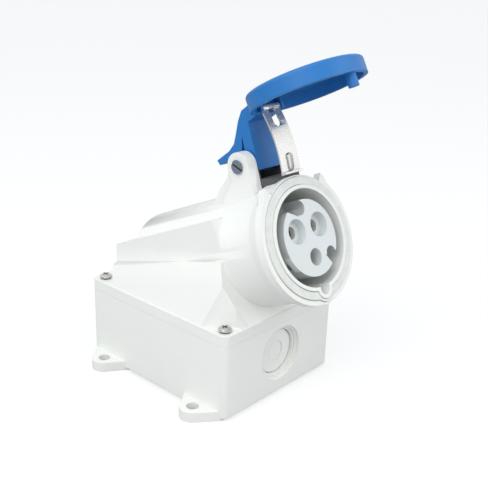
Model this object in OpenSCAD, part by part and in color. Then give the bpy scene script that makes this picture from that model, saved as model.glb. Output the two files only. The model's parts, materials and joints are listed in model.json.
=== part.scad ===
// Surface-mounted industrial wall socket, 16 A, three-pole, with a hinged splash lid.
// Z points away from the wall, the socket mouth and the knock-out face -Y, +X is to the right.
// The origin is on the mounting plane, under the middle of the box.

/* [Box] */
// Width of the box and cover across X
box_w = 80; // [76:1:90]
// Length of the box and cover along Y
box_l = 95; // [92:1:104]
// Height of the joint between box and cover
seam_z = 38; // [34:1:44]
// Gap under the box rim, which the ears hold off the wall
rim_gap = 1.5; // [0.5:0.5:3]
// Radius of the upright corners
corner_r = 3.5; // [2:0.5:5]
// Wall thickness of box and cover
wall = 3; // [2.6:0.2:3.4]
// Thickness of the box floor
floor_t = 3; // [2:0.5:4]

/* [Fixing ears] */
// Hole spacing across X
ear_hole_x = 90; // [90:1:100]
// Hole spacing along Y
ear_hole_y = 65; // [60:1:70]
// Diameter of the fixing holes
ear_hole_d = 6; // [4.5:0.5:7]
// Radius of the rounded ear tip
ear_tip_r = 6.3; // [5.5:0.1:7]
// Thickness of the ears
ear_t = 5; // [4:0.5:6]

/* [Knock-out] */
// Height of the knock-out centre above the wall
knockout_z = 21.5; // [20:0.5:23]
// Radius of the outermost step
knockout_r = 14; // [12:0.5:14.5]
// Number of steps
knockout_steps = 3; // [2:1:4]
// Depth of one step
knockout_step_t = 0.6; // [0.4:0.1:0.7]
// Width of one step
knockout_step_w = 1.3; // [1:0.1:1.6]

/* [Cover] */
// Height of the upright lip of the cover
lip_h = 5.5; // [4:0.5:7]
// Lean of the lower side walls
side_lean = 18.6; // [15:0.5:20]
// Distance of the rear wall from the rear edge of the lip
rear_inset = 6; // [4:0.5:8]
// Distance of the cover screws from the box sides
screw_inset = 5.2; // [5:0.1:6]
// Setback of the diagonal corner walls behind the screws
corner_cut = 6.2; // [6:0.2:8]
// Height of the shoulder at the front wall
shoulder_front_z = 73; // [70:1:76]
// Fall of the shoulder towards the rear
shoulder_fall = 15; // [13:0.5:16]
// Height of the flat hood sides above the socket axis
hood_flat_u = 19.5; // [17:0.5:21]

/* [Socket] */
// Upward tilt of the socket axis
tilt = 24; // [22:0.5:26]
// Position of the mouth centre along Y
mouth_y = -61.3; // [-63:0.1:-60]
// Height of the mouth centre
mouth_z = 85; // [84:0.5:88]
// Radius of the bore that takes the plug
bore_r = 22.5; // [22:0.1:22.8]
// Depth of the bore in front of its floor
bore_depth = 24; // [22:0.5:25]
// Wall of the tube round the bore
tube_wall = 5.9; // [5.6:0.1:6.4]
// Length of the tube in front of the hood
tube_out = 30; // [29:0.5:31]
// Distance from the mouth to the rear end of the round hood top
tunnel_back = 96; // [90:0.5:97]
// How far the collar stands out from the tube
collar_w = 2.2; // [2:0.1:2.8]
// Length of the collar
collar_t = 5; // [4:0.5:6]
// Radius of the keyway at six o'clock
key_r = 3.1; // [2.9:0.1:3.3]
// Distance of the keyway from the axis
key_at = 23.4; // [23:0.1:23.6]

/* [Contacts] */
// Radius of the contact carrier
carrier_r = 17.6; // [17.4:0.1:18]
// Radius of the circle through the contacts
pitch_r = 9; // [8.8:0.1:9.2]
// Inside diameter of the two power contacts
power_pin_d = 5.1; // [5:0.1:5.4]
// Inside diameter of the earth contact
earth_pin_d = 7.1; // [7:0.1:7.3]
// Wall of the contact sleeves
sleeve_t = 1; // [0.8:0.1:1.1]

/* [Hinge and lid] */
// Height of the hinge above the tube
hinge_rise = 10.8; // [10.2:0.1:11.6]
// Distance of the hinge behind the mouth
hinge_back = 18.1; // [17.5:0.1:19]
// Diameter of the hinge pin
pin_d = 4; // [3.5:0.1:4.4]
// Inside distance between the hinge ears
ear_gap = 18; // [17.6:0.2:19]
// Thickness of one hinge ear
hinge_ear_t = 5.6; // [5:0.2:6]
// Radius of the hinge ear's round top
hinge_ear_r = 6.4; // [6:0.2:7]
// How far the lid stands open
lid_open = 94; // [90:0.5:95]
// How far the lid's rim reaches beyond the inner ring of the mouth
lid_over = 2; // [1.9:0.1:3]
// Height of the lid's side wall
lid_h = 7.6; // [7.4:0.1:8]
// Wall thickness of the lid
lid_t = 1.8; // [1.4:0.1:2]
// Width of the lid's neck
neck_w = 16; // [14:0.5:16.4]

/* [Stay] */
// Width of the stay strip
stay_w = 12.2; // [11:0.2:13]
// Thickness of the stay strip
stay_t = 0.8; // [0.6:0.1:1]
// Length of the stay strip from its pivot to its foot
stay_len = 31.2; // [29:0.1:31.4]
// Bow of the stay strip
stay_bow = 2; // [1:0.1:2.4]

/* [Hidden] */
$fn = 64;
eps = 0.01;
// Clearances: a running fit round a pin, a seat between pieces, and a swinging gap
run_gap = 0.05;
seat_gap = 0.2;
swing_gap = 0.6;

white = [0.93, 0.94, 0.92];
blue = [0.10, 0.42, 0.80];
steel = [0.75, 0.75, 0.78];
brass = [0.80, 0.65, 0.30];
grey = [0.28, 0.28, 0.27];

lip_z = seam_z + lip_h;
half_w = box_w / 2;
half_l = box_l / 2;
rear_y = half_l - rear_inset;
screw_x = half_w - screw_inset;
screw_y = half_l - screw_inset;
lean = tan(side_lean);
mouth = [0, mouth_y, mouth_z];
SIGNS = [[-1, -1], [1, -1], [-1, 1], [1, 1]];

// Sizes of small hardware
screw_d = 4;
screw_head_r = 3.05;
screw_head_h = 1.6;
seal_t = 0.8;
insert_r = 3;
insert_l = 9;
boss_r = 4.6;
gasket_w = 1.6;
gasket_t = 1.2;

// Mouth face: an inner ring, a channel with its gasket, and the collar
ring_t = 1.7;
ring_r = bore_r + ring_t;
tube_r = bore_r + tube_wall;
collar_r = tube_r + collar_w;
channel_r = tube_r - seat_gap;
channel_depth = 4;
collar_back = 1.2;
key_ring_r = key_r + ring_t;
key_gasket_t = 1.2;
key_channel_r = key_ring_r + key_gasket_t + 2 * seat_gap;
key_collar_r = key_channel_r + 1.3;
horn_angle = 36;
notch_collar_r = tube_r + 0.4;

// Places along the socket axis, measured from the mouth plane
carrier_face = -0.4;
clamp_r = tube_r - wall - seat_gap;
clamp_t = 3;
floor_ring_t = 4;
clamp_s = -bore_depth - floor_ring_t;
carrier_back = clamp_s - 16;
groove_r = carrier_r - 2;
plate_t = 2.4;
sleeve_front = -7;
power_hole_r = power_pin_d / 2 + sleeve_t;
earth_hole_r = earth_pin_d / 2 + sleeve_t;
power_mouth_r = 2.9;
counterbore_r = 5.7;
counterbore_t = 4;
sleeve_gap = 0.8;
terminal_r = 5;
terminal_front = carrier_back + 10;
wire_hole_r = 1.6;
carrier_screw_at = (carrier_r + clamp_r) / 2;
carrier_screw_angles = [-95, 85];
power_angles = [-60, 60];
earth_angle = 180;

// Lid sizes in the closed position, along the socket axis from the mouth plane
hinge_u = tube_r + hinge_rise;
hinge_s = -hinge_back;
lid_r = ring_r + lid_over;
lid_rim_s = 0.3;
lid_top_s = lid_rim_s + lid_h;
peg_r = 2.3;
peg_s = -5.1;
peg_u = -(key_at - 0.6);
hub_r = 4.5;
hub_w = 4;
stay_pivot_u = ring_r - 0.9;
stay_pivot_s = 2.6;
stay_pin_r = 0.9;
stay_lug_t = 1.6;
slab_step = 0.4;
ear_step = 1.6;
ear_foot = tube_r - hinge_u - 10;
stay_eye_r = stay_pin_r + run_gap + 0.55;

function reach(a, r) = [r * sin(a), r * cos(a)];

module socket_frame() {
    translate(mouth) rotate([90 - tilt, 0, 0]) children();
}

// Turns what is drawn with the lid closed to the open rest position
module opened() {
    translate([0, hinge_u, hinge_s]) rotate([-lid_open, 0, 0]) translate([0, -hinge_u, -hinge_s])
        children();
}

module four_corners(x, y) {
    for (s = SIGNS) translate([s[0] * x, s[1] * y, 0]) children();
}

module along_x(length) {
    rotate([90, 0, 90]) translate([0, 0, -length / 2]) linear_extrude(length) children();
}

module rounded_plan(inset) {
    r = max(corner_r - inset, 0.5);
    w = half_w - inset - r;
    l = half_l - inset - r;
    square([2 * w, 2 * (l + r)], center = true);
    square([2 * (w + r), 2 * l], center = true);
    for (s = SIGNS) translate([s[0] * w, s[1] * l]) circle(r);
}

// Box with four fixing ears, screw bosses and a stepped knock-out

module ear_plan() {
    wall_front = ear_hole_y / 2 + 13;
    wall_back = ear_hole_y / 2 - 13;
    tip = [ear_hole_x / 2, ear_hole_y / 2];
    front = tip + ear_tip_r * [cos(-45), -sin(-45)];
    back = tip + ear_tip_r * [cos(45), -sin(45)];
    translate(tip) circle(ear_tip_r);
    polygon([[half_w - wall, wall_back], back, tip + [ear_tip_r * cos(45), 0], front,
        [half_w - 1, wall_front], [half_w - wall, wall_front]]);
}

module fixing_ears() {
    for (s = SIGNS) scale([s[0], s[1], 1]) difference() {
        linear_extrude(ear_t) ear_plan();
        translate([ear_hole_x / 2, ear_hole_y / 2, -eps]) cylinder(ear_t + 2 * eps, d = ear_hole_d);
    }
}

module knockout_cut() {
    translate([0, -half_l, knockout_z]) rotate([-90, 0, 0]) {
        for (i = [0:knockout_steps - 1])
            translate([0, 0, -eps]) cylinder((i + 1) * knockout_step_t + eps, r = knockout_r - i * knockout_step_w);
        difference() {
            cylinder(knockout_steps * knockout_step_t + 0.3, r = 5);
            translate([0, 0, -eps]) cylinder(wall, r = 4.4);
        }
    }
}

module base_box() {
    color(white) difference() {
        union() {
            difference() {
                translate([0, 0, rim_gap]) linear_extrude(seam_z - rim_gap) rounded_plan(0);
                translate([0, 0, rim_gap + floor_t]) linear_extrude(seam_z) rounded_plan(wall);
            }
            intersection() {
                four_corners(screw_x, screw_y) translate([0, 0, rim_gap]) cylinder(seam_z - rim_gap, r = boss_r);
                translate([0, 0, rim_gap]) linear_extrude(seam_z - rim_gap) rounded_plan(0.5);
            }
            fixing_ears();
        }
        knockout_cut();
        four_corners(screw_x, screw_y) translate([0, 0, seam_z - insert_l - 4]) cylinder(insert_l + 5, r = insert_r);
        translate([0, 0, seam_z - gasket_t]) linear_extrude(gasket_t + eps) gasket_plan(0);
    }
}

module gasket_plan(gap) {
    difference() {
        rounded_plan(0.7 + gap);
        rounded_plan(0.7 + gasket_w - gap);
        for (s = SIGNS) translate([s[0] * screw_x, s[1] * screw_y]) circle(insert_r + 0.4);
    }
}

module cover_gasket() {
    color(grey) translate([0, 0, seam_z - gasket_t]) linear_extrude(gasket_t) gasket_plan(0.1);
}

// Points and heights on the plane through the socket axis, u above the axis and s in front of the mouth
function place(u, s) = [mouth_y + u * sin(tilt) - s * cos(tilt), mouth_z + u * cos(tilt) + s * sin(tilt)];
function height_at(y, u) = mouth_z + (u - (y - mouth_y) * sin(tilt)) / cos(tilt);
function front_u(z) = (z - mouth_z + tube_out * sin(tilt)) / cos(tilt);

// Cover: lip, leaning hood, round tunnel, tube, collar and hinge ears in one moulding

module lower_hood(inset) {
    z0 = seam_z - inset;
    foot = half_w - 0.4 - inset;
    rise = shoulder_front_z + 20 - lip_z;
    shoulder_back_z = shoulder_front_z - (rear_y + half_w) * tan(shoulder_fall);
    front = -tube_out - inset;
    diagonal = screw_x + screw_y - corner_cut - inset * sqrt(2);
    intersection() {
        rotate([90, 0, 0]) translate([0, 0, -half_l]) linear_extrude(2 * half_l)
            polygon([[-foot, z0], [foot, z0], [foot, lip_z - 1], [foot - rise * lean, lip_z + rise],
                [rise * lean - foot, lip_z + rise], [-foot, lip_z - 1]]);
        along_x(box_w) polygon([[-half_l + wall + inset, z0], place(front_u(lip_z), front),
            place(front_u(shoulder_front_z) - inset, front), [rear_y - inset, shoulder_back_z - inset],
            [rear_y - inset, z0]]);
        translate([0, 0, z0]) linear_extrude(rise + 30) polygon([
            [diagonal - half_l, half_l], [half_l - diagonal, half_l], [-half_w, diagonal - half_w],
            [-half_w, half_w - diagonal], [half_l - diagonal, -half_l], [diagonal - half_l, -half_l],
            [half_w, half_w - diagonal], [half_w, diagonal - half_w]]);
    }
}

module flat_hood(inset) {
    front = -tube_out - inset;
    top = hood_flat_u - inset;
    along_x(2 * (tube_r - inset - slab_step)) polygon([place(front_u(lip_z), front), place(top, front),
        [rear_y - inset, height_at(rear_y - inset, top)], [rear_y - inset, lip_z - 1]]);
}

module round_hood(inset, front) {
    intersection() {
        socket_frame() translate([0, 0, inset - tunnel_back])
            cylinder(tunnel_back + front - inset, r = tube_r - inset, $fn = 96);
        translate([-box_w, -box_l, lip_z - 1 - inset]) cube([2 * box_w, 2 * box_l, 2 * box_l]);
    }
}

module hood(inset, front) {
    lower_hood(inset);
    flat_hood(inset);
    round_hood(inset, front);
}

module lip() {
    translate([0, 0, seam_z]) linear_extrude(lip_h) rounded_plan(0);
}

module lip_cavity() {
    translate([0, 0, seam_z - eps]) linear_extrude(lip_h - wall) difference() {
        rounded_plan(wall);
        for (s = SIGNS) translate([s[0] * screw_x, s[1] * screw_y]) circle(boss_r);
    }
}

module collar() {
    flare = collar_r - tube_r;
    translate([0, 0, -collar_t - 3 * flare]) cylinder(3 * flare, tube_r, collar_r, $fn = 96);
    translate([0, 0, -collar_t]) cylinder(collar_t - collar_back, r = collar_r, $fn = 96);
    translate([0, 0, -collar_t]) cylinder(collar_t, r = ring_r);
    translate([0, -key_at, -collar_t]) cylinder(collar_t, r = key_ring_r);
    translate([0, -key_at, -collar_t]) cylinder(collar_t - collar_back, r = key_collar_r);
}

module channel_plan(gap) {
    difference() {
        union() {
            circle(channel_r - gap);
            translate([0, -key_at]) circle(key_channel_r - gap);
        }
        circle(ring_r + gap);
        translate([0, -key_at]) circle(key_ring_r + gap);
    }
}

// The collar is cut away between its two horns, where the neck of the closed lid passes
module horn_cut() {
    far = 2 * collar_r;
    translate([0, 0, -collar_t - 8]) linear_extrude(collar_t + 8 + eps) difference() {
        polygon([[0, 0], reach(-horn_angle, far), reach(-horn_angle, far) + [0, far],
            reach(horn_angle, far) + [0, far], reach(horn_angle, far)]);
        circle(notch_collar_r);
    }
}

module mouth_cuts() {
    translate([0, 0, -bore_depth]) cylinder(bore_depth + 1, r = bore_r, $fn = 96);
    translate([0, -key_at, -bore_depth / 2]) cylinder(bore_depth, r = key_r);
    translate([0, 0, -channel_depth]) linear_extrude(channel_depth + 1) channel_plan(0);
    translate([0, 0, clamp_s - 1]) cylinder(floor_ring_t + 2, r = carrier_r + seat_gap);
    for (a = carrier_screw_angles) rotate(-a) translate([0, carrier_screw_at, clamp_s - 1])
        cylinder(floor_ring_t - 0.4 + 1, d = 2.4);
}

// Each ear is a thick strap round the pin with a thinner web behind it
module ear_strap() {
    circle(hinge_ear_r);
    polygon([[-0.5, hinge_ear_r], [ear_foot, hinge_ear_r - 1.8], [ear_foot, -16.9], [-19.1, -14.9],
        [-12.5, -15.7], [-5.7, -6.6], [-0.9, -hinge_ear_r + 0.1]]);
}

module ear_web() {
    polygon([[2.4, -5.8], [-3.1, -9.8], [-8.1, -17.5], [-19.3, -31.1], [ear_foot, -33], [ear_foot, 0], [0, 0]]);
}

module hinge_ear(side) {
    inner = ear_gap / 2;
    web_t = hinge_ear_t - ear_step;
    translate([0, hinge_u, hinge_s]) {
        translate([side > 0 ? inner : -inner - hinge_ear_t, 0, 0]) rotate([90, 0, 90])
            linear_extrude(hinge_ear_t) ear_strap();
        translate([side > 0 ? inner : -inner - web_t, 0, 0]) rotate([90, 0, 90])
            linear_extrude(web_t) ear_web();
    }
}

// One horn at each end of the cut collar
module collar_horn(side) {
    tip_r = collar_r + 2.4;
    translate([0, 0, -collar_t]) linear_extrude(collar_t - collar_back) polygon([
        reach(side * (horn_angle + 0.3), tube_r - 1), reach(side * (horn_angle + 0.3), tip_r),
        reach(side * (horn_angle + 4), tip_r - 0.4), reach(side * (horn_angle + 12), collar_r - 0.3),
        reach(side * (horn_angle + 12), tube_r - 1)]);
}

module collar_lug() {
    rotate(197) translate([-2.6, tube_r - 3, -9]) cube([5.2, 6, 5.5]);
}

module cover() {
    color(white) difference() {
        union() {
            lip();
            hood(0, -collar_t - 1);
            socket_frame() {
                difference() {
                    collar();
                    horn_cut();
                }
                hinge_ear(-1);
                hinge_ear(1);
                collar_horn(-1);
                collar_horn(1);
                collar_lug();
            }
        }
        lip_cavity();
        hood(wall, clamp_s);
        socket_frame() {
            mouth_cuts();
            translate([0, hinge_u, hinge_s]) rotate([0, 90, 0])
                cylinder(3 * ear_gap, r = pin_d / 2 + run_gap, center = true);
        }
        four_corners(screw_x, screw_y) translate([0, 0, seam_z - 1]) cylinder(lip_h + 20, d = screw_d + 0.5);
        four_corners(screw_x, screw_y) translate([0, 0, lip_z]) cylinder(20, r = screw_head_r + 0.4);
    }
}

module mouth_gasket() {
    color([0.86, 0.87, 0.85]) socket_frame() translate([0, 0, -channel_depth])
        linear_extrude(channel_depth - 0.5) channel_plan(seat_gap);
}

// Contact carrier with its notches, contact holes and mounting flange

module notch(centre_angle, r, from_angle, to_angle) {
    centre = reach(centre_angle, carrier_r - r + 0.2);
    side = to_angle > centre_angle ? 1 : -1;
    translate(centre) circle(r);
    polygon([centre, reach(from_angle, carrier_r + 3), reach((from_angle + to_angle) / 2, carrier_r + 5),
        reach(to_angle, carrier_r + 3), reach(centre_angle + side * 13, carrier_r - 2 * r + 0.7)]);
}

module carrier_notches() {
    notch(-9, 3.4, -12, -41);
    notch(131, 3.1, 116, 146);
    notch(-120, 1.6, -115, -125);
}

module contact_holes(angle, mouth_r, sleeve_r, dish_r) {
    rotate(-angle) translate([0, pitch_r, 0]) {
        translate([0, 0, carrier_face - counterbore_t]) cylinder(counterbore_t + 1, r = dish_r);
        translate([0, 0, sleeve_front - 1]) cylinder(10, r = mouth_r);
        translate([0, 0, carrier_back - 1]) cylinder(sleeve_front - carrier_back + 1, r = sleeve_r + sleeve_gap);
        translate([0, 0, carrier_back - 1]) cylinder(terminal_front - carrier_back + 1, r = terminal_r + seat_gap);
        translate([0, 0, carrier_back + 4]) rotate([-90, 0, 0]) cylinder(carrier_r, r = 2.3);
    }
}

module contact_carrier() {
    color([0.90, 0.92, 0.95]) socket_frame() difference() {
        translate([0, 0, carrier_back]) cylinder(carrier_face - carrier_back, r = carrier_r, $fn = 96);
        translate([0, 0, clamp_s - clamp_t - seat_gap]) difference() {
            cylinder(clamp_t + 2 * seat_gap, r = carrier_r + 1);
            translate([0, 0, -1]) cylinder(clamp_t + 3, r = groove_r);
        }
        translate([0, 0, -12]) linear_extrude(13) carrier_notches();
        for (a = power_angles) contact_holes(a, power_mouth_r, power_hole_r, counterbore_r);
        contact_holes(earth_angle, earth_hole_r - 0.6, earth_hole_r, earth_hole_r - 0.6);
        translate([0, 0, carrier_back - 1]) cylinder(7, d = 2.4);
    }
}

// Fork plate that slides into the groove of the carrier and is screwed behind the floor of the bore
module carrier_clamp() {
    color(grey) socket_frame() translate([0, 0, clamp_s - clamp_t]) difference() {
        cylinder(clamp_t, r = clamp_r);
        translate([0, 0, -1]) cylinder(clamp_t + 2, r = groove_r + seat_gap);
        translate([-groove_r - seat_gap, -2 * clamp_r, -1])
            cube([2 * (groove_r + seat_gap), 2 * clamp_r, clamp_t + 2]);
        for (a = carrier_screw_angles) rotate(-a) translate([0, carrier_screw_at, -1])
            cylinder(clamp_t + 2, r = 1.5);
    }
}

module carrier_plate() {
    color(grey) socket_frame() translate([0, 0, carrier_back - plate_t]) difference() {
        cylinder(plate_t, r = carrier_r - 1);
        for (a = concat(power_angles, [earth_angle])) rotate(-a) translate([0, pitch_r, -1])
            cylinder(plate_t + 2, r = wire_hole_r + 0.8);
        translate([0, 0, -1]) cylinder(plate_t + 2, r = 1.5);
    }
}

module contact(angle, bore_d, r) {
    color(brass) socket_frame() rotate(-angle) translate([0, pitch_r, 0]) difference() {
        union() {
            translate([0, 0, carrier_back]) cylinder(sleeve_front - carrier_back, r = r);
            translate([0, 0, carrier_back]) cylinder(terminal_front - carrier_back - seat_gap, r = terminal_r);
        }
        translate([0, 0, terminal_front + 1]) cylinder(sleeve_front - terminal_front, d = bore_d);
        for (turn = [0, 90]) rotate(turn) translate([-0.4, -r - 1, sleeve_front - 12])
            cube([0.8, 2 * r + 2, 13]);
        translate([0, 0, carrier_back - 1]) cylinder(9, r = wire_hole_r);
        translate([0, 0, carrier_back + 4]) rotate([-90, 0, 0]) cylinder(terminal_r + 1, r = 1.25);
    }
}

module live_contact() { contact(power_angles[0], power_pin_d, power_hole_r); }
module neutral_contact() { contact(power_angles[1], power_pin_d, power_hole_r); }
module earth_contact() { contact(earth_angle, earth_pin_d, earth_hole_r); }

module sleeve_springs() {
    color(steel) socket_frame() for (a = concat(power_angles, [earth_angle])) {
        r = a == earth_angle ? earth_hole_r : power_hole_r;
        rotate(-a) translate([0, pitch_r, sleeve_front - 5]) difference() {
            cylinder(2.4, r = r + 0.6);
            translate([0, 0, -1]) cylinder(5, r = r + 0.05);
            translate([-0.5, 0, -1]) cube([1, 2 * r, 5]);
        }
    }
}

module terminal_screws() {
    color(steel) socket_frame() for (a = concat(power_angles, [earth_angle])) rotate(-a)
        translate([0, pitch_r, carrier_back + 4]) rotate([-90, 0, 0]) difference() {
            union() {
                translate([0, 0, 1.9]) cylinder(terminal_r - 1.9, r = 1.2);
                translate([0, 0, terminal_r]) cylinder(1.8, r = 2.1);
            }
            translate([-0.3, -3, terminal_r + 1]) cube([0.6, 6, 2]);
        }
}

module pan_screw(length, shank_d, head_r, head_h) {
    difference() {
        union() {
            translate([0, 0, -length]) cylinder(length + eps, d = shank_d);
            cylinder(head_h * 0.45, r = head_r);
            translate([0, 0, head_h * 0.45 - eps]) cylinder(head_h * 0.55, head_r, head_r * 0.62);
        }
        for (turn = [0, 90]) rotate(turn) translate([-head_r * 0.55, -0.35, head_h * 0.35])
            cube([head_r * 1.1, 0.7, head_h]);
    }
}

module carrier_screws() {
    color(steel) socket_frame() {
        for (a = carrier_screw_angles) rotate(-a) translate([0, carrier_screw_at, clamp_s - clamp_t])
            rotate([180, 0, 0]) pan_screw(clamp_t + 3, 2.2, 2.1, 1.5);
        translate([0, 0, carrier_back - plate_t]) rotate([180, 0, 0]) pan_screw(plate_t + 5, 2.2, 2.4, 1.5);
    }
}

module cover_screws() {
    color(steel) four_corners(screw_x, screw_y) translate([0, 0, lip_z + seal_t])
        pan_screw(lip_h + seal_t + insert_l - 2, screw_d, screw_head_r, screw_head_h);
}

module screw_seals() {
    color(grey) four_corners(screw_x, screw_y) translate([0, 0, lip_z]) difference() {
        cylinder(seal_t, r = screw_head_r - 0.5);
        translate([0, 0, -1]) cylinder(seal_t + 2, d = screw_d + 0.1);
    }
}

module threaded_inserts() {
    color(brass) four_corners(screw_x, screw_y) translate([0, 0, seam_z - insert_l]) difference() {
        cylinder(insert_l - 0.2, r = insert_r - 0.02);
        translate([0, 0, -1]) cylinder(insert_l + 2, d = screw_d + 0.1);
    }
}

// Hinge pin, its clip, the closing spring and the dark pad between the ears

module at_hinge() {
    socket_frame() translate([0, hinge_u, hinge_s]) rotate([0, 90, 0]) children();
}

module hinge_pin() {
    outer = ear_gap / 2 + hinge_ear_t;
    color(steel) at_hinge() difference() {
        union() {
            translate([0, 0, -outer - 0.2]) cylinder(2 * outer + 2.4, d = pin_d);
            translate([0, 0, -outer - 1.5]) cylinder(1.4, r = 2.9);
        }
        rotate(24) translate([-4, -0.45, -outer - 2]) cube([8, 0.9, 1.2]);
        translate([0, 0, outer + 0.2]) difference() {
            cylinder(0.8, r = pin_d);
            translate([0, 0, -1]) cylinder(3, r = pin_d / 2 - 0.5);
        }
    }
}

module pin_clip() {
    color(steel) at_hinge() translate([0, 0, ear_gap / 2 + hinge_ear_t + 0.25]) difference() {
        cylinder(0.7, r = pin_d / 2 + 1.4);
        translate([0, 0, -1]) cylinder(3, r = pin_d / 2 - 0.45);
        translate([0, -0.9, -1]) cube([6, 1.8, 3]);
    }
}

module spring_turn(r, wire) {
    rotate_extrude() translate([r, 0]) circle(wire, $fn = 16);
}

module hinge_spring() {
    wire = 0.45;
    coil = pin_d / 2 + 0.5 + wire;
    turns = 7;
    color(steel) at_hinge() {
        for (i = [0:turns - 1]) translate([0, 0, (i - (turns - 1) / 2) * 2 * wire * 0.98]) spring_turn(coil, wire);
        translate([0, coil, -(turns - 1) * wire * 0.98]) rotate([0, 90, 0]) cylinder(5.2, r = wire, $fn = 16);
    }
}

module hinge_pad() {
    w = ear_gap - 2 * seat_gap;
    top = hinge_u - hinge_ear_r - 1.5;
    color(grey) socket_frame() difference() {
        translate([-w / 2, 0, 0]) rotate([90, 0, 90]) linear_extrude(w)
            polygon([[notch_collar_r - 2, -4.4], [notch_collar_r + 0.9, -4.4], [top, hinge_s + 4], [top, hinge_s - 8],
                [notch_collar_r - 2, hinge_s - 10]]);
        translate([0, 0, 2 * hinge_s]) cylinder(-2 * hinge_s + collar_t, r = notch_collar_r + 0.05, $fn = 96);
    }
}

// Lid, drawn closed and then opened

module lid_disc() {
    soft = 1.6;
    difference() {
        rotate_extrude($fn = 96) difference() {
            union() {
                translate([0, lid_rim_s]) square([lid_r, lid_h - soft]);
                translate([0, lid_top_s - soft - eps]) square([lid_r - soft, soft]);
                translate([lid_r - soft, lid_top_s - soft]) circle(soft, $fn = 32);
            }
            translate([-1, lid_rim_s - eps]) square([1 + lid_r - lid_t, lid_h - lid_t]);
            translate([-2, lid_rim_s]) square([2, lid_h + 1]);
        }
    }
}

module neck_outline() {
    h = [hinge_u, hinge_s];
    polygon([[h[0] - 5.4, h[1] - 4.4], [h[0] - 6.4, h[1] + 2], [h[0] - 8.2, lid_rim_s - 1.2],
        [lid_r - 1.2, lid_rim_s], [lid_r - 1.2, lid_top_s - 2], [h[0] - 11, lid_top_s - 2],
        [h[0] - 6.6, h[1] + 23.2], [h[0] - 2.6, h[1] + 19.5], [h[0] + 1.2, h[1] + 14.6],
        [h[0] + 4.2, h[1] + 11], [h[0] + 8.5, h[1] + 8.9], [h[0] + 17.8, h[1] + 7.2],
        [h[0] + 17, h[1] + 4.6], [h[0] + 9, h[1] + 5.6], [h[0] + 3.6, h[1] + 5.6], [h[0] + 2.4, h[1]],
        [h[0] - 3.6, h[1] - 4.4]]);
    translate(h) circle(hub_r);
}

module lid() {
    h = [hinge_u, hinge_s];
    color(blue) socket_frame() opened() difference() {
        union() {
            lid_disc();
            translate([-neck_w / 2, 0, 0]) rotate([90, 0, 90]) linear_extrude(neck_w) neck_outline();
            translate([0, peg_u, peg_s]) cylinder(lid_top_s - lid_t - peg_s + eps, r = peg_r);
            translate([-0.5, peg_u - 3.4, lid_rim_s + 1]) cube([1, 6.8, lid_h - lid_t - 0.9]);
            for (side = [-1, 1]) translate([side * (stay_w / 2 + stay_lug_t / 2 + seat_gap), 0, 0])
                stay_lug();
        }
        translate([-neck_w, 0, 0]) rotate([90, 0, 90]) linear_extrude(2 * neck_w)
            polygon([h + [-0.9, 5.6], h + [1.3, 5.6], h + [-2.1, 13]]);
        translate([0, hinge_u, hinge_s]) rotate([0, 90, 0]) {
            cylinder(2 * neck_w, r = pin_d / 2 + run_gap, center = true);
            cylinder(2 * hub_w, r = hub_r + 0.8, center = true);
        }
        stay_slot();
    }
}

// Ears under the lid that hold the pin of the folding stay
module stay_lug() {
    translate([-stay_lug_t / 2, stay_pivot_u - 2.2, stay_pivot_s - 1.8])
        cube([stay_lug_t, 4.6, lid_top_s - lid_t - stay_pivot_s + 2]);
}

// Slot in the root of the lid for the folding stay
module stay_slot() {
    w = stay_w + 2 * seat_gap;
    translate([-w / 2, stay_pivot_u - 4, lid_rim_s - 1]) cube([w, 5.4, lid_h - lid_t + 1]);
    translate([-w / 2, stay_pivot_u, stay_pivot_s]) rotate([0, 90, 0]) cylinder(w, r = stay_eye_r + 0.4);
    translate([-w / 2 - 1.6, stay_pivot_u, stay_pivot_s]) rotate([0, 90, 0])
        cylinder(w + 3.2, r = stay_pin_r + run_gap);
}

module stay_outline(t) {
    r = (stay_len * stay_len / 4 + stay_bow * stay_bow) / (2 * stay_bow);
    mid = -stay_len / 2;
    difference() {
        translate([-stay_bow + r, mid]) circle(r + t / 2, $fn = 180);
        translate([-stay_bow + r, mid]) circle(r - t / 2, $fn = 180);
        translate([-stay_bow + r - 2 * r, mid + stay_len / 2]) square([4 * r, 4 * r]);
        translate([-stay_bow + r - 2 * r, mid - stay_len / 2 - 4 * r]) square([4 * r, 4 * r]);
        translate([r / 2, -2 * r]) square([4 * r, 4 * r]);
    }
}

module stay() {
    w = stay_w;
    color(steel) socket_frame() opened() translate([0, stay_pivot_u, stay_pivot_s]) difference() {
        union() {
            translate([-w / 2, 0, 0]) rotate([90, 0, 90]) linear_extrude(w) {
                stay_outline(stay_t);
                circle(stay_eye_r);
                translate([-2.2, -stay_len]) square([2.6, stay_t]);
            }
        }
        translate([-w, 0, 0]) rotate([0, 90, 0]) cylinder(2 * w, r = stay_pin_r + run_gap);
        translate([0, 4, -2.4]) rotate([90, 0, 0]) linear_extrude(8) {
            circle(2.2);
            translate([0, -5]) circle(2.2);
            translate([-2.2, -5]) square([4.4, 5]);
        }
    }
}

module stay_pin() {
    color(steel) socket_frame() opened() translate([0, stay_pivot_u, stay_pivot_s]) rotate([0, 90, 0])
        cylinder(stay_w + 3, r = stay_pin_r, center = true);
}

base_box();
cover();
cover_gasket();
mouth_gasket();
contact_carrier();
carrier_clamp();
carrier_plate();
live_contact();
neutral_contact();
earth_contact();
sleeve_springs();
terminal_screws();
carrier_screws();
cover_screws();
screw_seals();
threaded_inserts();
hinge_pin();
pin_clip();
hinge_spring();
hinge_pad();
lid();
stay();
stay_pin();
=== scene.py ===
# Industrial wall socket with its blue lid held open, in a plain pale studio
import json
import math

import bpy
from mathutils import Matrix, Vector

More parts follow.
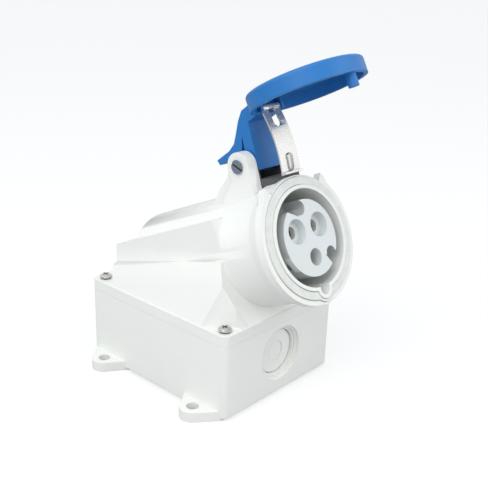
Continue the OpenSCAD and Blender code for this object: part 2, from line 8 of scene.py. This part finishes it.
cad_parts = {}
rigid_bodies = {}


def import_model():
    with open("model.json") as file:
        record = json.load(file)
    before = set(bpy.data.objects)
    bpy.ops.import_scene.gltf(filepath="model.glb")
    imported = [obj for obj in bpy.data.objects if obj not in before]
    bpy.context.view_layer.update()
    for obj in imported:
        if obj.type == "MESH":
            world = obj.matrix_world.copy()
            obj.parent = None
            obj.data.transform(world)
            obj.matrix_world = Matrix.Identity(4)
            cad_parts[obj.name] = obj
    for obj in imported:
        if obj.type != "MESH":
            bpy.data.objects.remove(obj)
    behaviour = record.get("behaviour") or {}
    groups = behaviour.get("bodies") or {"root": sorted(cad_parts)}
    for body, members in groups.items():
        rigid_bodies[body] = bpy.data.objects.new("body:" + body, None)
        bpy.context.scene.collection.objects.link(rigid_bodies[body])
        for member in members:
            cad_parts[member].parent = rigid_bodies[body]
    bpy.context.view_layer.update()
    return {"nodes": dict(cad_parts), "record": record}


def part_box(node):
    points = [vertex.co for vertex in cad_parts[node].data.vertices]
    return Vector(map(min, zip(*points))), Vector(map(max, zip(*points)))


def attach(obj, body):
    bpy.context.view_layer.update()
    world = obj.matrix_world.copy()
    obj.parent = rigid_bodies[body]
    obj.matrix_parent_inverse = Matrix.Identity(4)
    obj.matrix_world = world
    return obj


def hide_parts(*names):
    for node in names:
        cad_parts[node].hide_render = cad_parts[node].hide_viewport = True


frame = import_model()

# Camera, as the photograph was taken
CAMERA_PLACE = (-0.2661, -0.2565, 0.2038)
CAMERA_YAW = 48.51
CAMERA_PITCH = 20.53
CAMERA_ROLL = 2.0
LENS_MM = 57.72
SENSOR_MM = 36.0

# Colours, linear
HOUSING_WHITE = (0.86, 0.87, 0.83)
INSERT_WHITE = (0.71, 0.745, 0.74)
LID_BLUE = (0.010, 0.170, 0.50)
PLATE_BLACK = (0.035, 0.036, 0.036)
GASKET_WHITE = (0.74, 0.755, 0.71)
# Painted shade: a dark grey for the white plastic inside the bore
BORE_SHADE_GREY = (0.20, 0.205, 0.19)
# Painted shade: a grey for the insert's faces in the bore's shadow
INSERT_SIDE_SHADE = (0.48, 0.50, 0.49)
RUBBER_BLACK = (0.085, 0.086, 0.085)
STEEL = (0.80, 0.79, 0.77)
ZINC = (0.60, 0.60, 0.58)
# Painted shade: a darker steel for the strip's rib
RIB_SHADE_STEEL = (0.42, 0.42, 0.41)
BLUED_STEEL = (0.30, 0.36, 0.44)
RECESS_SHADE = (0.10, 0.10, 0.10)
BRASS = (0.78, 0.56, 0.25)
FLOOR_WHITE = (0.97, 0.97, 0.97)
FLOOR_DIM = (0.50, 0.50, 0.50)
PAPER_SHARE = 0.66
SKY_TINT = (0.93, 0.96, 1.0)
SKY_STRENGTH = 0.86
PLAIN_WHITE = (1.0, 1.0, 1.0, 1.0)

# Lamps: place, size in metres and watts, all turned to the middle of the object
AIM = (0, 0, 0.06)
KEY_LAMP = ((-0.60, -0.12, 0.72), 0.6, 3.4)
FILL_LAMP = ((0.35, -0.75, 0.45), 0.6, 1.5)

MM = 0.001

# The studio floor's side and the camera's near limit, in metres
FLOOR_SIDE = 40
NEAR_LIMIT = 0.01

# Surfaces: plastic's refraction, how far a metal's streaks run on, and the usual run of noise
PLASTIC_IOR = 1.49
STREAK_SCALE = 0.04
NOISE_RUN = (0.3, 0.7)

# Merging, smoothing and picking
MERGE = 0.002 * MM
FLAT = math.radians(0.2)
CREASE = math.radians(28)
PIECE_CREASE = math.radians(35)
NEAR = 0.05 * MM
ROUND_STEPS = 96

# The socket's axis, from the middle of its mouth
MOUTH_Y = -61.3 * MM
MOUTH_Z = 85 * MM
TILT = math.radians(24)
BORE_R = 22.5 * MM
BORE_BACK = -28.1 * MM
BORE_FRONT = -0.3 * MM
KEY_R = 3.1 * MM
KEY_AT = 23.4 * MM

# The insert: its contact holes and the rim over the nick in its side
PITCH_R = 9 * MM
CONTACT_ANGLES = (-60, 60, 180)
HOLE_ROOM = 5.9 * MM
INSERT_R = 17.6 * MM
INSERT_FACE = -0.4 * MM
RIM_INSIDE = 14.1 * MM
RIM_PROUD = 0.03 * MM
RIM_HEIGHT = 3.22 * MM
RIM_MIDDLE = 1.6 * MM
RIM_SWEEP = math.radians(28)
RIM_STEPS = 14
RIM_START = math.radians(197)

# The hinge axis, up the mouth face and out of it, the ears' gap and the dark pad in it
HINGE_UP = 39.2 * MM
HINGE_OUT = -18.1 * MM
EAR_GAP = 18 * MM
PAD_SOFTNESS = 0.2 * MM
CHEEK_SIZE = (0.7 * MM, 12.4 * MM, 13.6 * MM)
CHEEK_INSET = 0.40 * MM
CHEEK_BELOW = 9.2 * MM
CHEEK_BACK = 0.8 * MM
BACK_SIZE = (17.4 * MM, 9.2 * MM, 0.8 * MM)
BACK_OFF = 7.6 * MM

# The slotted head of the hinge pin, outside the near ear
PIN_FACE = -14.6 * MM
HEAD_START = 0.15 * MM
HEAD_STRETCH = (0.62, 1.12, 1.12)
HEAD_RIM = 2.9 * MM
HEAD_TOP = 0.85 * MM
SLOT_FLOOR = 0.3 * MM
SLOT_TURN = math.radians(-20)

# The folding stay: the lid's opening, its pivot on the closed lid, the strip and its rib
LID_OPEN = math.radians(94)
PIVOT_UP = 23.3 * MM
PIVOT_OUT = 2.6 * MM
STAY_LENGTH = 31.2 * MM
STAY_BOW = 2 * MM
STAY_THICKNESS = 0.8 * MM
RIB_R = 1.9 * MM
RIB_HEIGHT = 1.5 * MM
RIB_RUN = 4.4 * MM
RIB_FROM_FOOT = 3.0 * MM
RIB_ROUND = 0.55 * MM

# The knock-out in the front of the box, with each step of its cup as depth and narrowing
FRONT_Y = -47.5 * MM
KNOCKOUT_Z = 21.5 * MM
KNOCKOUT_R = 14 * MM
CUT_DEPTH = 6 * MM
CUP_START = 0.5 * MM
CUP_OVERLAP = 0.02 * MM
CUP_WALL = 0.2 * MM
CUP_STEPS = ((0.7, 1.2), (1.2, 1.2), (2.1, 0.5), (-0.9, 6.1), (0.35, 0.0))

# The cross recess in the head of a cover screw
SCREW_HEAD_R = 3.05 * MM
RECESS_REACH = 1.8 * MM
RECESS_DEPTHS = (0.25 * MM, 1.7 * MM)

# From the socket's own axes, and from the closed lid's, to the shared frame
SOCKET = Matrix.Translation((0, MOUTH_Y, MOUTH_Z)) @ Matrix.Rotation(math.pi / 2 - TILT, 4, "X")
HINGE = Matrix.Translation((0, HINGE_UP, HINGE_OUT))
OPENED = SOCKET @ HINGE @ Matrix.Rotation(-LID_OPEN, 4, "X") @ HINGE.inverted()


def from_mouth(point):
    """A point as (across, up the face, out of the mouth), from the middle of the mouth."""
    y = point[1] - MOUTH_Y
    z = point[2] - MOUTH_Z
    up = y * math.sin(TILT) + z * math.cos(TILT)
    out = -y * math.cos(TILT) + z * math.sin(TILT)
    return point[0], up, out


def choose(*pieces):
    """Only these pieces are selected, the first one active."""
    for o in bpy.context.view_layer.objects:
        o.select_set(False)
    for o in pieces:
        o.select_set(True)
    bpy.context.view_layer.objects.active = pieces[0]


# Materials


def new_material(name):
    """A node material with its shader and the object's own coordinates."""
    material = bpy.data.materials.new(name)
    material.use_nodes = True
    nodes = material.node_tree.nodes
    shader = nodes["Principled BSDF"]
    place = nodes.new("ShaderNodeTexCoord")
    return material, material.node_tree, shader, place.outputs["Object"]


def noise(tree, coordinates, size, detail=3.0, roughness=0.5):
    """Noise whose lumps are about size across, in metres."""
    node = tree.nodes.new("ShaderNodeTexNoise")
    node.inputs["Scale"].default_value = 1.0 / size
    node.inputs["Detail"].default_value = detail
    node.inputs["Roughness"].default_value = roughness
    tree.links.new(coordinates, node.inputs["Vector"])
    return node.outputs["Fac"]


def spread(tree, value, low, high):
    """A noise value stretched to run from low to high."""
    node = tree.nodes.new("ShaderNodeMapRange")
    node.inputs["From Min"].default_value = NOISE_RUN[0]
    node.inputs["From Max"].default_value = NOISE_RUN[1]
    node.inputs["To Min"].default_value = low
    node.inputs["To Max"].default_value = high
    tree.links.new(value, node.inputs["Value"])
    return node.outputs["Result"]


def tint(tree, value, colour, low, high):
    """The colour between two shades of itself, by a noise value."""
    node = tree.nodes.new("ShaderNodeMix")
    node.data_type = "RGBA"
    node.inputs["A"].default_value = tuple(c * low for c in colour) + (1.0,)
    node.inputs["B"].default_value = tuple(min(c * high, 1.0) for c in colour) + (1.0,)
    tree.links.new(value, node.inputs["Factor"])
    return node.outputs["Result"]


def relief(tree, shader, height, depth, soft_edge):
    """Fine relief of a given depth, over edges that catch the light as rounded ones do."""
    edge = tree.nodes.new("ShaderNodeBevel")
    edge.samples = 6
    edge.inputs["Radius"].default_value = soft_edge
    bump = tree.nodes.new("ShaderNodeBump")
    bump.inputs["Strength"].default_value = 1.0
    bump.inputs["Distance"].default_value = depth
    tree.links.new(height, bump.inputs["Height"])
    tree.links.new(edge.outputs["Normal"], bump.inputs["Normal"])
    tree.links.new(bump.outputs["Normal"], shader.inputs["Normal"])


def moulded_plastic(
        name, colour, shine=(0.34, 0.46), grain=0.5 * MM, depth=0.012 * MM, soft_edge=0.35 * MM):
    """Injection-moulded plastic: faint shade changes, an eroded grain and a satin gloss."""
    material, tree, shader, place = new_material(name)
    cloud = noise(tree, place, 24 * MM, 2.0)
    tree.links.new(tint(tree, cloud, colour, 0.975, 1.02), shader.inputs["Base Color"])
    tree.links.new(spread(tree, noise(tree, place, 6 * MM), *shine), shader.inputs["Roughness"])
    shader.inputs["IOR"].default_value = PLASTIC_IOR
    relief(tree, shader, noise(tree, place, grain, 2.0), depth, soft_edge)
    return material


def dull_rubber(name, colour):
    """Soft rubber: a dull face with a slight bloom."""
    material, tree, shader, place = new_material(name)
    cloud = noise(tree, place, 5 * MM, 4.0)
    tree.links.new(tint(tree, cloud, colour, 0.85, 1.2), shader.inputs["Base Color"])
    tree.links.new(spread(tree, cloud, 0.62, 0.8), shader.inputs["Roughness"])
    relief(tree, shader, noise(tree, place, 0.35 * MM), 0.02 * MM, 0.25 * MM)
    return material


def drawn_metal(name, colour, shine, streak_axis, metal=1.0, streak=0.16 * MM, depth=0.003 * MM):
    """Rolled or turned metal: fine streaks along one axis."""
    material, tree, shader, place = new_material(name)
    shader.inputs["Metallic"].default_value = metal
    stretch = tree.nodes.new("ShaderNodeMapping")
    scale = [1.0, 1.0, 1.0]
    scale[streak_axis] = STREAK_SCALE
    stretch.inputs["Scale"].default_value = scale
    tree.links.new(place, stretch.inputs["Vector"])
    lines = noise(tree, stretch.outputs["Vector"], streak, 3.0)
    cloud = noise(tree, place, 8 * MM, 2.0)
    tree.links.new(tint(tree, cloud, colour, 0.93, 1.05), shader.inputs["Base Color"])
    tree.links.new(spread(tree, lines, *shine), shader.inputs["Roughness"])
    relief(tree, shader, lines, depth, 0.15 * MM)
    return material


housing = moulded_plastic("housing_white", HOUSING_WHITE)
insert = moulded_plastic("insert_white", INSERT_WHITE, (0.30, 0.40), 0.3 * MM, 0.006 * MM, 0.22 * MM)
lid_plastic = moulded_plastic("lid_blue", LID_BLUE, (0.40, 0.50), 0.45 * MM, 0.012 * MM, 0.5 * MM)
back_plastic = moulded_plastic("plate_black", PLATE_BLACK)
black_rubber = dull_rubber("rubber_black", RUBBER_BLACK)
pale_rubber = dull_rubber("gasket_white", GASKET_WHITE)
bore_shade_plastic = moulded_plastic("bore_painted_shade", BORE_SHADE_GREY, (0.42, 0.55))
side_shade_plastic = moulded_plastic("insert_side_painted_shade", INSERT_SIDE_SHADE, (0.40, 0.50))
polished_strip = drawn_metal("stainless_strip", STEEL, (0.24, 0.30), 2, 0.72, 0.3 * MM, 0.0008 * MM)
plated_steel = drawn_metal("zinc_steel", ZINC, (0.22, 0.38), 1)
rib_shade_steel = drawn_metal("stainless_rib_painted_shade", RIB_SHADE_STEEL, (0.22, 0.32), 2)
blued_steel = drawn_metal("blued_steel", BLUED_STEEL, (0.20, 0.30), 1)
painted_recess_shade = drawn_metal("painted_recess_shade", RECESS_SHADE, (0.4, 0.5), 1)
turned_brass = drawn_metal("turned_brass", BRASS, (0.2, 0.35), 1)

FINISH = {
    "base_box": housing,
    "cover": housing,
    "cover_gasket": black_rubber,
    "mouth_gasket": pale_rubber,
    "contact_carrier": insert,
    "carrier_clamp": back_plastic,
    "carrier_plate": back_plastic,
    "live_contact": turned_brass,
    "neutral_contact": turned_brass,
    "earth_contact": turned_brass,
    "sleeve_springs": polished_strip,
    "terminal_screws": plated_steel,
    "carrier_screws": plated_steel,
    "cover_screws": plated_steel,
    "screw_seals": black_rubber,
    "threaded_inserts": turned_brass,
    "hinge_pin": plated_steel,
    "pin_clip": polished_strip,
    "hinge_spring": polished_strip,
    "hinge_pad": black_rubber,
    "lid": lid_plastic,
    "stay": polished_strip,
    "stay_pin": plated_steel,
}

BODY = {}
for body, members in frame["record"]["behaviour"]["bodies"].items():
    for node in members:
        BODY[node] = body


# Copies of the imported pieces


def even_shading(piece):
    """Curved faces are shaded smooth and flat ones flat, with edges past the crease angle sharp."""
    choose(piece)
    bpy.ops.object.shade_smooth_by_angle(angle=CREASE)
    bpy.ops.object.modifier_add(type="WEIGHTED_NORMAL")
    weighting = piece.modifiers[-1]
    weighting.keep_sharp = True
    weighting.weight = 100
    bpy.ops.object.modifier_apply(modifier=weighting.name)


def finished_copy(node):
    """A copy of a CAD node with its triangles joined and smoothed, which stands for the node."""
    source = frame["nodes"][node]
    piece = bpy.data.objects.new(node + "_piece", source.data.copy())
    bpy.context.scene.collection.objects.link(piece)
    choose(piece)
    bpy.ops.object.mode_set(mode="EDIT")
    bpy.ops.mesh.select_all(action="SELECT")
    bpy.ops.mesh.remove_doubles(threshold=MERGE)
    bpy.ops.mesh.dissolve_limited(angle_limit=FLAT)
    bpy.ops.object.mode_set(mode="OBJECT")
    even_shading(piece)
    piece.data.materials.clear()
    piece.data.materials.append(FINISH[node])
    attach(piece, BODY[node])
    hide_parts(node)
    return piece


def repaint(piece, material, chosen):
    """The faces with every corner where chosen says get another material."""
    piece.data.materials.append(material)
    number = len(piece.data.materials) - 1
    corners = piece.data.vertices
    for face in piece.data.polygons:
        if all(chosen(*from_mouth(corners[i].co)) for i in face.vertices):
            face.material_index = number


def in_bore(across, up, out):
    """On the wall, the keyway or the floor of the bore, where the cover gets painted shade."""
    by_wall = math.hypot(across, up) < BORE_R + NEAR
    by_key = math.hypot(across, up + KEY_AT) < KEY_R + NEAR
    return BORE_BACK < out < BORE_FRONT and (by_wall or by_key)


def clear_of_holes(across, up, out):
    """On the insert, clear of its contact holes, where it gets painted shade."""
    for angle in CONTACT_ANGLES:
        hole_across = PITCH_R * math.sin(math.radians(angle))
        hole_up = PITCH_R * math.cos(math.radians(angle))
        if math.hypot(across - hole_across, up - hole_up) < HOLE_ROOM:
            return False
    return True


PIECES = {}
for node in frame["nodes"]:
    PIECES[node] = finished_copy(node)
# Painted shade: the cover's bore wall, keyway and floor get a dark grey
repaint(PIECES["cover"], bore_shade_plastic, in_bore)
# Painted shade: the insert's faces clear of its contact holes get a darker grey
repaint(PIECES["contact_carrier"], side_shade_plastic, clear_of_holes)


# Pieces modelled here


def finish_primitive(name, material, body, place=SOCKET, soften=0.0):
    """The active primitive gets its material, its place and soft edges, and rides on a body."""
    piece = bpy.context.object
    piece.name = name
    piece.data.materials.clear()
    piece.data.materials.append(material)
    piece.matrix_world = place @ piece.matrix_world
    bpy.ops.object.transform_apply(location=True, rotation=True, scale=True)
    if soften:
        bpy.ops.object.modifier_add(type="BEVEL")
        softener = piece.modifiers[-1]
        softener.width = soften
        softener.segments = 3
        softener.limit_method = "ANGLE"
        bpy.ops.object.modifier_apply(modifier=softener.name)
    bpy.ops.object.shade_smooth_by_angle(angle=PIECE_CREASE)
    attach(piece, body)


def pick_vertices(piece, chosen):
    """In edit mode, only the vertices that chosen picks by their place."""
    bpy.ops.object.mode_set(mode="EDIT")
    bpy.ops.mesh.select_all(action="DESELECT")
    bpy.ops.object.mode_set(mode="OBJECT")
    for vertex in piece.data.vertices:
        vertex.select = chosen(vertex.co)
    bpy.ops.object.mode_set(mode="EDIT")


def pad_block(name, place, size):
    """One block of the dark pad, in the socket's own axes."""
    bpy.ops.object.select_all(action="DESELECT")
    bpy.ops.mesh.primitive_cube_add(size=1, location=place)
    bpy.context.object.scale = size
    bpy.ops.object.transform_apply(location=False, rotation=False, scale=True)
    finish_primitive(name, black_rubber, "root", SOCKET, PAD_SOFTNESS)


def dark_pad():
    """The pad's two cheeks against the ears, and its back behind the swing of the lid's neck."""
    cheek_at = EAR_GAP / 2 - CHEEK_INSET
    for name, side in (("pad_cheek_left", -1), ("pad_cheek_right", 1)):
        pad_block(name, (side * cheek_at, HINGE_UP - CHEEK_BELOW, HINGE_OUT - CHEEK_BACK), CHEEK_SIZE)
    pad_block("pad_back", (0, HINGE_UP - BACK_OFF, HINGE_OUT - BACK_OFF), BACK_SIZE)


def stay_rib():
    """The short stiffening rib low on the front of the strip, in a darker steel that paints its shade.
    """
    bpy.ops.object.select_all(action="DESELECT")
    bpy.ops.mesh.primitive_cylinder_add(vertices=48, radius=RIB_R, depth=RIB_HEIGHT, location=(0, 0, 0))
    pick_vertices(bpy.context.object, lambda co: co.y > 0.0)
    bpy.ops.transform.translate(value=(0, RIB_RUN, 0))
    bpy.ops.object.mode_set(mode="OBJECT")
    curve_r = (STAY_LENGTH ** 2 / 4 + STAY_BOW ** 2) / (2 * STAY_BOW)
    below = RIB_FROM_FOOT - STAY_LENGTH
    lean = math.asin((below + STAY_LENGTH / 2) / curve_r)
    front = curve_r - STAY_BOW - (curve_r + STAY_THICKNESS / 2) * math.cos(lean)
    on_strip = Matrix.Translation((0, PIVOT_UP + front, PIVOT_OUT + below))
    turn = Matrix.Rotation(math.pi / 2 - lean, 4, "X")
    finish_primitive("stay_rib", rib_shade_steel, "stay", OPENED @ on_strip @ turn, RIB_ROUND)


def insert_rim():
    """The rim of the insert's face that runs on over the small nick in its side."""
    bpy.ops.object.select_all(action="DESELECT")
    outside = INSERT_R + RIM_PROUD
    middle = ((RIM_INSIDE + outside) / 2, 0, INSERT_FACE - RIM_MIDDLE)
    bpy.ops.mesh.primitive_plane_add(size=1, location=middle)
    rim = bpy.context.object
    rim.scale = (outside - RIM_INSIDE, RIM_HEIGHT, 1.0)
    rim.rotation_euler = (math.pi / 2, 0, 0)
    bpy.ops.object.transform_apply(location=True, rotation=True, scale=True)
    bpy.ops.object.mode_set(mode="EDIT")
    bpy.ops.mesh.select_all(action="SELECT")
    bpy.ops.mesh.spin(steps=RIM_STEPS, angle=RIM_SWEEP, center=(0, 0, 0), axis=(0, 0, 1))
    bpy.ops.mesh.select_all(action="SELECT")
    bpy.ops.mesh.remove_doubles(threshold=MERGE)
    bpy.ops.mesh.normals_make_consistent(inside=False)
    bpy.ops.object.mode_set(mode="OBJECT")
    first = min(math.atan2(v.co.y, v.co.x) for v in rim.data.vertices)
    turn = Matrix.Rotation(RIM_START - first, 4, "Z")
    finish_primitive("insert_rim", insert, "root", SOCKET @ turn)


def open_knockout():
    """The box's front wall is cut through inside the knock-out's edge."""
    bpy.ops.object.select_all(action="DESELECT")
    middle = (0, FRONT_Y + CUP_START, KNOCKOUT_Z)
    bpy.ops.mesh.primitive_cylinder_add(
        vertices=ROUND_STEPS, radius=KNOCKOUT_R, depth=CUT_DEPTH, location=middle,
        rotation=(math.pi / 2, 0, 0))
    cutter = bpy.context.object
    box = PIECES["base_box"]
    choose(box)
    bpy.ops.object.modifier_add(type="BOOLEAN")
    cut = box.modifiers[-1]
    cut.operation = "DIFFERENCE"
    cut.solver = "EXACT"
    cut.object = cutter
    bpy.ops.object.modifier_apply(modifier=cut.name)
    choose(cutter)
    bpy.ops.object.delete()
    even_shading(box)


def knockout_cup():
    """The stepped cup that closes the knock-out, with a narrow groove round its disc."""
    bpy.ops.object.select_all(action="DESELECT")
    bpy.ops.mesh.primitive_circle_add(
        vertices=ROUND_STEPS, radius=KNOCKOUT_R + CUP_OVERLAP, fill_type="NOTHING",
        location=(0, FRONT_Y + CUP_START, KNOCKOUT_Z), rotation=(math.pi / 2, 0, 0))
    cup = bpy.context.object
    bpy.ops.object.transform_apply(location=True, rotation=True, scale=True)
    bpy.ops.object.mode_set(mode="EDIT")
    bpy.ops.mesh.select_all(action="SELECT")
    radius = KNOCKOUT_R
    for deeper, narrower in CUP_STEPS:
        bpy.ops.mesh.extrude_edges_move(TRANSFORM_OT_translate={"value": (0, deeper * MM, 0)})
        if narrower:
            share = (radius - narrower * MM) / radius
            bpy.ops.mesh.extrude_edges_move(TRANSFORM_OT_translate={"value": (0, 0, 0)})
            bpy.ops.transform.resize(value=(share, 1, share), center_override=(0, FRONT_Y, KNOCKOUT_Z))
            radius *= share
    bpy.ops.mesh.edge_face_add()
    bpy.ops.mesh.select_all(action="SELECT")
    bpy.ops.mesh.normals_make_consistent(inside=False)
    bpy.ops.object.mode_set(mode="OBJECT")
    bpy.ops.object.modifier_add(type="SOLIDIFY")
    wall = cup.modifiers[-1]
    wall.thickness = CUP_WALL
    wall.offset = 1.0
    bpy.ops.object.modifier_apply(modifier=wall.name)
    finish_primitive("knockout_cup", housing, "root", Matrix.Identity(4))


def turned_pin_head():
    """The pin's slotted head, broader and flatter, its slot falling to the front and darkened with
    painted shade.
    """
    pin = PIECES["hinge_pin"]
    choose(pin)
    axis = SOCKET @ Vector((0, HINGE_UP, HINGE_OUT))
    pick_vertices(pin, lambda co: co.x < PIN_FACE - HEAD_START)
    bpy.ops.transform.resize(value=HEAD_STRETCH, center_override=(PIN_FACE, axis.y, axis.z))
    bpy.ops.transform.rotate(value=SLOT_TURN, orient_axis="X", center_override=tuple(axis))
    bpy.ops.object.mode_set(mode="OBJECT")
    pin.data.materials.append(blued_steel)
    pin.data.materials.append(painted_recess_shade)
    for face in pin.data.polygons:
        beyond = PIN_FACE - face.center.x
        from_axis = math.hypot(face.center.y - axis.y, face.center.z - axis.z)
        if beyond > HEAD_TOP or (beyond > 0 and from_axis > HEAD_RIM):
            face.material_index = 1
        # Painted shade: the slot's walls and floor get the near-black recess steel
        elif beyond > SLOT_FLOOR:
            face.material_index = 2


def dark_recesses():
    """The cross recess of each cover screw, in shade."""
    screws = PIECES["cover_screws"]
    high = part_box("cover_screws")[1]
    screw_x = high[0] - SCREW_HEAD_R
    screw_y = high[1] - SCREW_HEAD_R
    screws.data.materials.append(painted_recess_shade)
    corners = screws.data.vertices
    for face in screws.data.polygons:
        places = [corners[i].co for i in face.vertices]
        reach = max(math.hypot(abs(p.x) - screw_x, abs(p.y) - screw_y) for p in places)
        deepest = max(high[2] - p.z for p in places)
        if reach < RECESS_REACH and RECESS_DEPTHS[0] < deepest < RECESS_DEPTHS[1]:
            face.material_index = 1


dark_pad()
stay_rib()
insert_rim()
open_knockout()
knockout_cup()
turned_pin_head()
dark_recesses()


# Floor, light and camera


def studio_floor():
    """A pale floor: nearly white to the camera, with the object's shadow, and dim to other rays."""
    bpy.ops.mesh.primitive_plane_add(size=FLOOR_SIDE, location=(0, 0, 0))
    ground = bpy.context.object
    ground.name = "ground"
    material, tree, shader, _ = new_material("ground_white")
    shader.inputs["Base Color"].default_value = FLOOR_WHITE + (1.0,)
    shader.inputs["Roughness"].default_value = 1.0
    shader.inputs["Specular IOR Level"].default_value = 0.0
    dim = tree.nodes.new("ShaderNodeBsdfDiffuse")
    dim.inputs["Color"].default_value = FLOOR_DIM + (1.0,)
    paper = tree.nodes.new("ShaderNodeEmission")
    paper.inputs["Color"].default_value = PLAIN_WHITE
    seen = tree.nodes.new("ShaderNodeLightPath")
    plain = tree.nodes.new("ShaderNodeMixShader")
    plain.inputs["Fac"].default_value = PAPER_SHARE
    both = tree.nodes.new("ShaderNodeMixShader")
    tree.links.new(shader.outputs["BSDF"], plain.inputs[1])
    tree.links.new(paper.outputs["Emission"], plain.inputs[2])
    tree.links.new(seen.outputs["Is Camera Ray"], both.inputs["Fac"])
    tree.links.new(dim.outputs["BSDF"], both.inputs[1])
    tree.links.new(plain.outputs["Shader"], both.inputs[2])
    tree.links.new(both.outputs["Shader"], tree.nodes["Material Output"].inputs["Surface"])
    ground.data.materials.append(material)


def studio_world():
    """Even light all round, with a white ground for the camera, glossy and transmission rays."""
    world = bpy.data.worlds.new("studio")
    bpy.context.scene.world = world
    world.use_nodes = True
    tree = world.node_tree
    soft = tree.nodes["Background"]
    soft.inputs["Color"].default_value = SKY_TINT + (1.0,)
    soft.inputs["Strength"].default_value = SKY_STRENGTH
    white = tree.nodes.new("ShaderNodeBackground")
    white.inputs["Color"].default_value = PLAIN_WHITE
    white.inputs["Strength"].default_value = 1.0
    path = tree.nodes.new("ShaderNodeLightPath")
    first_two = tree.nodes.new("ShaderNodeMath")
    first_two.operation = "MAXIMUM"
    all_three = tree.nodes.new("ShaderNodeMath")
    all_three.operation = "MAXIMUM"
    both = tree.nodes.new("ShaderNodeMixShader")
    tree.links.new(path.outputs["Is Camera Ray"], first_two.inputs[0])
    tree.links.new(path.outputs["Is Glossy Ray"], first_two.inputs[1])
    tree.links.new(first_two.outputs["Value"], all_three.inputs[0])
    tree.links.new(path.outputs["Is Transmission Ray"], all_three.inputs[1])
    tree.links.new(all_three.outputs["Value"], both.inputs["Fac"])
    tree.links.new(soft.outputs["Background"], both.inputs[1])
    tree.links.new(white.outputs["Background"], both.inputs[2])
    tree.links.new(both.outputs["Shader"], tree.nodes["World Output"].inputs["Surface"])


def soft_box(name, place, size, watts):
    """A square lamp at place, turned to the object."""
    bpy.ops.object.light_add(type="AREA", location=place)
    lamp = bpy.context.object
    lamp.name = name
    lamp.data.shape = "SQUARE"
    lamp.data.size = size
    lamp.data.energy = watts
    lamp.rotation_euler = (Vector(AIM) - Vector(place)).to_track_quat("-Z", "Y").to_euler()


def photo_camera():
    """The camera at the place, turn and lens that the photograph gives."""
    yaw, pitch, roll = (math.radians(a) for a in (CAMERA_YAW, CAMERA_PITCH, CAMERA_ROLL))
    forward = Vector((math.sin(yaw), math.cos(yaw), 0.0))
    ahead = math.cos(pitch) * forward - Vector((0.0, 0.0, math.sin(pitch)))
    level = Vector((math.cos(yaw), -math.sin(yaw), 0.0))
    upright = level.cross(ahead)
    right = math.cos(roll) * level + math.sin(roll) * upright
    up = -math.sin(roll) * level + math.cos(roll) * upright
    data = bpy.data.cameras.new("camera")
    data.lens = LENS_MM
    data.sensor_width = SENSOR_MM
    data.clip_start = NEAR_LIMIT
    camera = bpy.data.objects.new("camera", data)
    bpy.context.scene.collection.objects.link(camera)
    turn = Matrix((right, up, -ahead)).transposed().to_4x4()
    camera.matrix_world = Matrix.Translation(CAMERA_PLACE) @ turn
    bpy.context.scene.camera = camera


studio_floor()
studio_world()
soft_box("key", *KEY_LAMP)
soft_box("fill", *FILL_LAMP)
photo_camera()
bpy.context.scene.view_settings.view_transform = "Standard"
